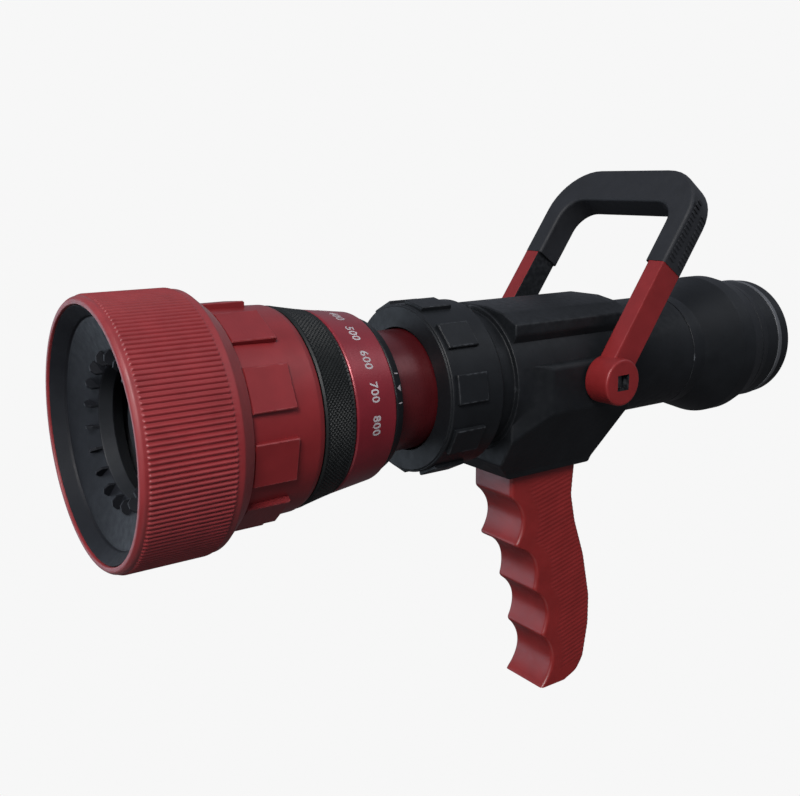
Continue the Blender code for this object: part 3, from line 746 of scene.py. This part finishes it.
THREAD_PITCH, THREAD_DEPTH = 2.82, 1.1
SOCKET_RADIUS, SOCKET_DEPTH = 25.0, 12.0
SOCKET_START = 1.4              # the chamfer at the socket's mouth ends here
THREAD_ROWS = 8                 # rows in one turn of the thread
NECK_RADIUS = 31.7
rear, front, flare = span("inlet_swivel")
swivel_outline = softened([
    (front, flare - 0.5), (front - 0.6, flare), (19.2, NECK_RADIUS), (10.6, NECK_RADIUS), (10.6, 29.8),
    (7.4, 29.8), (7.4, NECK_RADIUS - 0.3), (1.2, NECK_RADIUS - 0.3), (rear, 30.2),
    (rear, SOCKET_RADIUS + SOCKET_START)], 0.3, closed=False)
steps = round(SOCKET_DEPTH / THREAD_PITCH * THREAD_ROWS)
swivel_outline += [(SOCKET_START + SOCKET_DEPTH * k / steps, SOCKET_RADIUS) for k in range(steps + 1)]
swivel_outline += softened([
    (16.2, SOCKET_RADIUS), (16.2, 24.6), (20.6, 24.6), (20.6, 26.6), (24.4, 26.6), (24.4, 24.6), (front, 24.6)],
    0.2, closed=False)


def thread_relief(x, r, angle):
    """A helical groove cut outwards into the socket's wall."""
    if abs(r - SOCKET_RADIUS) > 1e-6 or x > 1.5 + SOCKET_DEPTH:
        return r
    turn = (x / THREAD_PITCH + angle / math.tau) % 1.0
    ridge = min(1.0, 2.4 * abs(turn - 0.5))
    fade = min(1.0, (SOCKET_START + SOCKET_DEPTH - x) / 2.0)
    return r + THREAD_DEPTH * ridge * max(0.0, fade)


show("swivel_coupling", lathe("swivel_coupling", swivel_outline, even_angles(ROUND), thread_relief),
     "inlet_swivel", "turned_black")
rear, front, outer = span("wear_ring")
BAND_DEPTH = 1.45
turned("grey_band", "wear_ring", [
    (front, outer), (rear, outer), (rear, outer - BAND_DEPTH), (front, outer - BAND_DEPTH)], 0.3)
rear, front, outer = span("inlet_gasket")
turned("hose_washer", "inlet_gasket", [(front, outer), (rear, outer), (rear, 19.4), (front, 19.4)], 0.8)


def woven_screen(name, centre_x, radius, pitch, wire):
    """Two crossed sets of waved wires that run out to a round rim."""
    shape = bmesh.new()
    count = int(radius // pitch)
    sides, stations_per_pitch = 6, 4
    for direction, line in product((0, 1), range(-count, count + 1)):
        offset = line * pitch
        half = math.sqrt(max(0.0, (radius - 0.3) ** 2 - offset ** 2))
        stations = max(4, round(2 * half / pitch * stations_per_pitch))
        rings = []
        for k in range(stations + 1):
            along = -half + 2 * half * k / stations
            wave = wire * 0.5 * math.cos(math.pi * (along / pitch + line)) * (1 if direction else -1)
            ring = []
            for s in range(sides):
                turn = s * math.tau / sides
                across, deep = offset + wire / 2 * math.cos(turn), wave + wire / 2 * math.sin(turn)
                y, z = (along, across) if direction else (across, along)
                ring.append(shape.verts.new(((centre_x + deep) * MM, y * MM, z * MM)))
            rings.append(ring)
        for a, b in zip(rings, rings[1:]):
            for s in range(sides):
                shape.faces.new((a[s], a[(s + 1) % sides], b[(s + 1) % sides], b[s]))
        shape.faces.new(rings[0][::-1])
        shape.faces.new(rings[-1])
    bmesh.ops.recalc_face_normals(shape, faces=shape.faces)
    mesh = bpy.data.meshes.new(name)
    shape.to_mesh(mesh)
    shape.free()
    return mesh


rear, front, outer = span("inlet_screen")
MESH_PITCH, MESH_WIRE = 2.1, 0.6
screen = woven_screen("strainer_mesh", (rear + front) / 2, outer - 1.0, MESH_PITCH, MESH_WIRE)
show("strainer_mesh", screen, "inlet_screen", even=False)
turned("strainer_rim", "inlet_screen", [
    (front, outer), (rear, outer), (rear, outer - 1.9), (front, outer - 1.9)], 0.3, columns=FINE)

# ---- bail: arms, hubs and rubber cover ----------------------------------------------------------------
LEAN = math.radians(35.6)
UP = Vector((-math.sin(LEAN), 0, math.cos(LEAN)))
FRONTWARD = Vector((math.cos(LEAN), 0, math.sin(LEAN)))
PIVOT = Vector((pivot * MM, 0, 0))


def bail_matrix(first, second):
    """Outline x along the first direction and y along the second, from the bail's pivot."""
    first, second = Vector(first), Vector(second)
    return Matrix.Translation(PIVOT) @ Matrix((first, second, first.cross(second))).transposed().to_4x4()


ARM_IN, ARM_OUT, ARM_HALF = 36.0, 45.0, 7.0
COVER_START = 58.0
HUB_RADIUS, HUB_END = 10.5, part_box("bail_fork")[1].y / MM
ARM_EDGE = 0.9
arm_section = [(ARM_IN, -ARM_HALF), (ARM_OUT, -ARM_HALF), (ARM_OUT, ARM_HALF), (ARM_IN, ARM_HALF)]


def hub(side):
    shape = lathe("hub", softened([
        (HUB_END, 0), (HUB_END, HUB_RADIUS), (ARM_IN, HUB_RADIUS), (ARM_IN, 0)], 1.3, 4, closed=False),
        even_angles(FINE), closed=False)
    shape.transform(Matrix.Translation(PIVOT) @ Matrix.Rotation(side * math.pi / 2, 4, "Z"))
    return shape


def arm(side):
    outline = [(side * y, n) for y, n in arm_section]
    place = bail_matrix((0, 1, 0), FRONTWARD)
    flip = Matrix.Diagonal((1, 1, -1, 1)) if place.col[2].xyz.dot(UP) < 0 else Matrix.Identity(4)
    return prism("arm", outline, 0.0, COVER_START + 2.0, place @ flip, edge=ARM_EDGE)


SOCKET_HALF = 3.5               # half of the square hole in each hub
SOCKET_OUTLINE = [(-SOCKET_HALF, -SOCKET_HALF), (SOCKET_HALF, -SOCKET_HALF), (SOCKET_HALF, SOCKET_HALF),
                  (-SOCKET_HALF, SOCKET_HALF)]
for side, label in ((1, "left"), (-1, "right")):
    socket = prism("socket", SOCKET_OUTLINE, 30, 56,
                   Matrix.Translation(PIVOT) @ Matrix.Rotation(-side * math.pi / 2, 4, "X"))
    whole = bmesh.new()
    whole.from_mesh(changed(arm(side), [("UNION", hub(side)), ("DIFFERENCE", socket)]))
    bmesh.ops.dissolve_limit(whole, angle_limit=math.radians(0.5), verts=whole.verts, edges=whole.edges)
    arm_mesh = bpy.data.meshes.new(f"bail_arm_{label}")
    whole.to_mesh(arm_mesh)
    whole.free()
    piece = show(f"bail_arm_{label}", arm_mesh, "bail_fork", "bail_red", replaces=side > 0)
    # Inner faces of the arms and the walls of the square hole are painted black as painted shade.
    paint_shade_on(piece, "black_metal", lambda at, facing: side * facing.y < -0.9 or (
        abs(facing.y) < 0.5 and max(abs(at.x - PIVOT.x / MM), abs(at.z)) < SOCKET_HALF + 0.1))

BAR_TOP, BAR_LOW = 107.5, 89.7
COVER_IN, COVER_OUT, COVER_HALF = 34.3, 45.3, 7.3
OUTER_ROUND, INNER_ROUND, COVER_EDGE = 24, 11, 1.6


def arm_to_bar(across, along, radius):
    """One side of the cover's outline, from the arm's end round the corner to the cross bar."""
    return [(across, COVER_START)] + corner((across - radius, along - radius), radius, 0, 90)


outer_side = arm_to_bar(COVER_OUT, BAR_TOP, OUTER_ROUND)
inner_side = arm_to_bar(COVER_IN, BAR_LOW, INNER_ROUND)
cover_outline = outer_side + [(-y, s) for y, s in reversed(outer_side)]
cover_outline += [(-y, s) for y, s in inner_side] + list(reversed(inner_side))
cover = bmesh.new()
cover.from_mesh(prism("cover", cover_outline, -COVER_HALF, COVER_HALF))
long_edges = [e for e in cover.edges if e.calc_face_angle(0) > math.radians(60)
              and abs(e.verts[0].co.z - e.verts[1].co.z) < 1e-6
              and not all(abs(v.co.y / MM - COVER_START) < 0.01 for v in e.verts)]
bmesh.ops.bevel(cover, geom=long_edges, offset=COVER_EDGE * MM, segments=4, profile=0.5, affect="EDGES")
bmesh.ops.transform(cover, matrix=bail_matrix((0, 1, 0), UP), verts=cover.verts)
cover_mesh = bpy.data.meshes.new("bail_grip_cover")
cover.to_mesh(cover_mesh)
cover.free()
show("bail_grip_cover", cover_mesh, "bail_cover")

COVER_RIB_PITCH, COVER_RIB_WIDTH, COVER_RIB_RISE, COVER_RIB_SLANT = 2.15, 1.15, 0.4, 0.65


def rib_dashes():
    """Two rows of short slanted ribs on the outer face of each arm of the cover."""
    dashes = bmesh.new()
    rows = ((1.7, 5.2, 15), (-5.2, -1.7, 13))        # from, to across the arm, and number of dashes
    for side, (near, far, count) in product((1, -1), rows):
        for index in range(count):
            foot = COVER_START + 2.6 + index * COVER_RIB_PITCH
            raised = foot + COVER_RIB_SLANT
            dash = [(near, foot), (far, raised), (far, raised + COVER_RIB_WIDTH),
                    (near, foot + COVER_RIB_WIDTH)]
            depths = sorted((-side * (COVER_OUT - 0.5), -side * (COVER_OUT + COVER_RIB_RISE)))
            single = prism("dash", dash, depths[0], depths[1], bail_matrix(FRONTWARD, UP), edge=0.15)
            dashes.from_mesh(single)
            bpy.data.meshes.remove(single)
    mesh = bpy.data.meshes.new("cover_ribs")
    dashes.to_mesh(mesh)
    dashes.free()
    return mesh


show("cover_ribs", rib_dashes(), "bail_cover", replaces=False)

# ---- pistol grip --------------------------------------------------------------------------------------
low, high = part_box("pistol_grip")
grip_top, grip_foot, grip_half = high.z / MM, low.z / MM, high.y / MM
FINGER_TIPS = [(181.8, -56.5), (179.0, -81.3), (166.1, -106.3), (160.1, -131.3), (159.9, grip_foot)]
GROOVE_DEPTHS = (6.4, 7.0, 6.0, 7.4)
GRIP_BACK = [(140.9, grip_top), (142.2, -62.0), (139.2, -76.0), (132.5, -95.0), (127.6, -118.0),
             (127.5, -133.0), (130.4, -150.5), (135.5, -157.4), (144.5, grip_foot)]
GRIP_ROWS = 320
GRIP_ROUND = 1.8
GROOVE_STEPS = 12
SIDE_STEPS, END_STEPS = 28, 12  # divisions of the grip's sides, and of its front and back
GRIP_RIB_PITCH, GRIP_RIB_DEPTH, GRIP_RIB_TILT = 2.2, 0.22, math.radians(13)
GRIP_PLAIN_SHARE = 0.28         # front part of each side that has no ribs


def grip_section(reach):
    """Rounded rectangle round the middle of one level: (x, y, share of rib height) of each point."""
    section = []
    for along, across, first in ((1, 1, 0), (-1, 1, 90), (-1, -1, 180), (1, -1, 270)):
        centre = (along * (reach - GRIP_ROUND), across * (grip_half - GRIP_ROUND))
        arc = corner(centre, GRIP_ROUND, first, first + 90, 6)
        if section:
            section += between(section[-1], arc[0])
        section += [(x, y, abs(y - centre[1]) / GRIP_ROUND) for x, y in arc]
    return section + between(section[-1], section[0])


def between(start, end):
    """Points that divide the flat between two corners, without its ends; only the sides carry ribs."""
    is_side = abs(start[1] - end[1]) < 1e-6
    steps = SIDE_STEPS if is_side else END_STEPS
    ribbed = 1.0 if is_side else 0.0
    return [(start[0] + (end[0] - start[0]) * k / steps, start[1] + (end[1] - start[1]) * k / steps, ribbed)
            for k in range(1, steps)]


def eased(levels, sampled, reach):
    """Running mean of evenly spaced samples, which rounds their corners."""
    step = abs(levels[1] - levels[0])
    width = max(1, int(reach / step))
    kernel = np.hanning(2 * width + 3)
    kernel /= kernel.sum()
    padded = np.pad(sampled, width + 1, mode="edge")
    return np.convolve(padded, kernel, mode="valid")


def grip_mesh():
    """Stack of level sections between the grooved front and the curved back, ribbed on both sides."""
    levels = np.linspace(grip_top, grip_foot, GRIP_ROWS)
    front_points = [(FINGER_TIPS[0][0], grip_top)]
    for upper, lower, deepest in zip(FINGER_TIPS, FINGER_TIPS[1:], GROOVE_DEPTHS):
        across, down = lower[0] - upper[0], lower[1] - upper[1]
        length = math.hypot(across, down)
        for k in range(GROOVE_STEPS):
            share = k / GROOVE_STEPS
            depth = deepest * math.sin(math.pi * share) ** 0.8 if k else 0.0
            front_points.append((upper[0] + across * share + down / length * depth,
                                 upper[1] + down * share - across / length * depth))
    front_points.append(FINGER_TIPS[-1])
    heights = np.array([z for _, z in front_points])[::-1]
    fronts = np.interp(levels, heights, np.array([x for x, _ in front_points])[::-1])
    backs = np.interp(levels, [z for _, z in GRIP_BACK][::-1], [x for x, _ in GRIP_BACK][::-1])
    fronts, backs = eased(levels, fronts, 2.2), eased(levels, backs, 3.0)
    points = []
    for row, z in enumerate(levels):
        x_front, x_back = fronts[row], backs[row]
        middle, reach = (x_front + x_back) / 2, (x_front - x_back) / 2
        section = grip_section(reach)
        for x_off, y, share in section:
            x = middle + x_off
            rearness = max(0.0, min(1.0, (x_front - 2 * reach * GRIP_PLAIN_SHARE - x) / 2.0))
            ends = max(0.0, min(1.0, (grip_top - 3.0 - z) / 4.0, (z - grip_foot - 5.0) / 6.0))
            phase = (z * math.cos(GRIP_RIB_TILT) + x * math.sin(GRIP_RIB_TILT)) / GRIP_RIB_PITCH
            wave = 0.5 - 0.5 * math.cos(math.tau * phase)
            y -= math.copysign(GRIP_RIB_DEPTH * wave * share * rearness * ends, y)
            points.append((x * MM, y * MM, z * MM))
    columns = len(section)
    faces = []
    for row in range(GRIP_ROWS - 1):
        upper, lower = row * columns, (row + 1) * columns
        for column in range(columns):
            beside = (column + 1) % columns
            faces.append((upper + column, lower + column, lower + beside, upper + beside))
    faces.append(tuple(range(columns)))
    faces.append(tuple(range(GRIP_ROWS * columns - 1, (GRIP_ROWS - 1) * columns - 1, -1)))
    mesh = bpy.data.meshes.new("finger_grip")
    mesh.from_pydata(points, [], faces)
    tidy = bmesh.new()
    tidy.from_mesh(mesh)
    bmesh.ops.recalc_face_normals(tidy, faces=tidy.faces)
    tidy.to_mesh(mesh)
    tidy.free()
    return mesh


show("finger_grip", grip_mesh(), "pistol_grip")

# ---- baffle -------------------------------------------------------------------------------------------
rear, front, outer = span("baffle_head")
turned("baffle_disc", "baffle_head", [
    (front - 1.2, 0), (front - 1.2, 9.0), (front, 10.5), (front, outer - 2.5), (front - 1.2, outer),
    (front - 3.4, outer), (rear, 9.0), (rear, 4.35), (front - 5.0, 4.35), (front - 5.0, 0)], 0.4, closed=False)

# ---- stage and light ----------------------------------------------------------------------------------
PAPER = 0.930                   # linear value of the pale backdrop


def stage_material():
    """Pale backdrop that looks even from the camera whatever the lamps do."""
    material = bpy.data.materials.new("backdrop")
    material.use_nodes = True
    tree = material.node_tree
    tree.nodes.clear()
    glow = add_node(tree, "ShaderNodeEmission", {"Color": (PAPER, PAPER, PAPER, 1.0), "Strength": 1.0})
    output = add_node(tree, "ShaderNodeOutputMaterial")
    tree.links.new(glow.outputs[0], output.inputs["Surface"])
    return material


FLOOR_LEVEL = -0.60
bpy.ops.mesh.primitive_plane_add(size=30.0, location=(0, 0, FLOOR_LEVEL))
floor_sheet = bpy.context.object
floor_sheet.name = "floor"
floor_sheet.data.materials.append(stage_material())
floor_sheet.visible_diffuse = False
floor_sheet.visible_glossy = False
floor_sheet.visible_shadow = False

world = bpy.data.worlds.new("studio")
bpy.context.scene.world = world
world.use_nodes = True
sky = world.node_tree
sky.nodes.clear()
look = add_node(sky, "ShaderNodeTexCoord").outputs["Generated"]
height = add_node(sky, "ShaderNodeSeparateXYZ", {0: look}).outputs["Z"]
LOW_SKY, HIGH_SKY = (0.11, 0.11, 0.12, 1), (0.50, 0.54, 0.64, 1)
shade = blend_colour(sky, rescale(sky, height, 0.0, 1.0, -0.35, 0.75), LOW_SKY, HIGH_SKY)
ambient = add_node(sky, "ShaderNodeBackground", {"Color": shade, "Strength": 0.75})
paper = add_node(sky, "ShaderNodeBackground", {"Color": (PAPER, PAPER, PAPER, 1), "Strength": 1.0})
seen = add_node(sky, "ShaderNodeLightPath").outputs["Is Camera Ray"]
both = add_node(sky, "ShaderNodeMixShader", {0: seen, 1: ambient.outputs[0], 2: paper.outputs[0]})
sky_out = add_node(sky, "ShaderNodeOutputWorld")
sky.links.new(both.outputs[0], sky_out.inputs["Surface"])

AIM = Vector((0.19, 0.0, 0.0))  # middle of the nozzle


def softbox(name, direction, distance, size, power, colour=(1.0, 1.0, 1.0)):
    """A round lamp that faces the nozzle's middle; distance and size in metres, power in watts."""
    lamp = bpy.data.lights.new(name, "AREA")
    lamp.shape = "DISK"
    lamp.size = size
    lamp.energy = power
    lamp.color = colour
    thing = bpy.data.objects.new(name, lamp)
    thing.location = AIM + Vector(direction).normalized() * distance
    thing.rotation_euler = (AIM - thing.location).to_track_quat("-Z", "Y").to_euler()
    bpy.context.scene.collection.objects.link(thing)
    return thing


softbox("key", (0.60, 0.56, 0.62), 1.3, 0.55, 21.0, (1.0, 0.98, 0.97))
softbox("fill", (0.9, 0.35, 0.1), 1.6, 1.2, 5.0, (0.86, 0.92, 1.0))
softbox("side", (0.60, -0.78, -0.10), 1.3, 1.1, 5.0, (0.74, 0.86, 1.0))
softbox("under", (0.30, 0.55, -0.80), 1.5, 1.2, 1.8)
softbox("rim", (-0.7, 0.5, 0.8), 1.5, 0.8, 2.5, (0.9, 0.95, 1.0))

bpy.context.scene.view_settings.view_transform = "Standard"
bpy.context.scene.view_settings.look = "None"
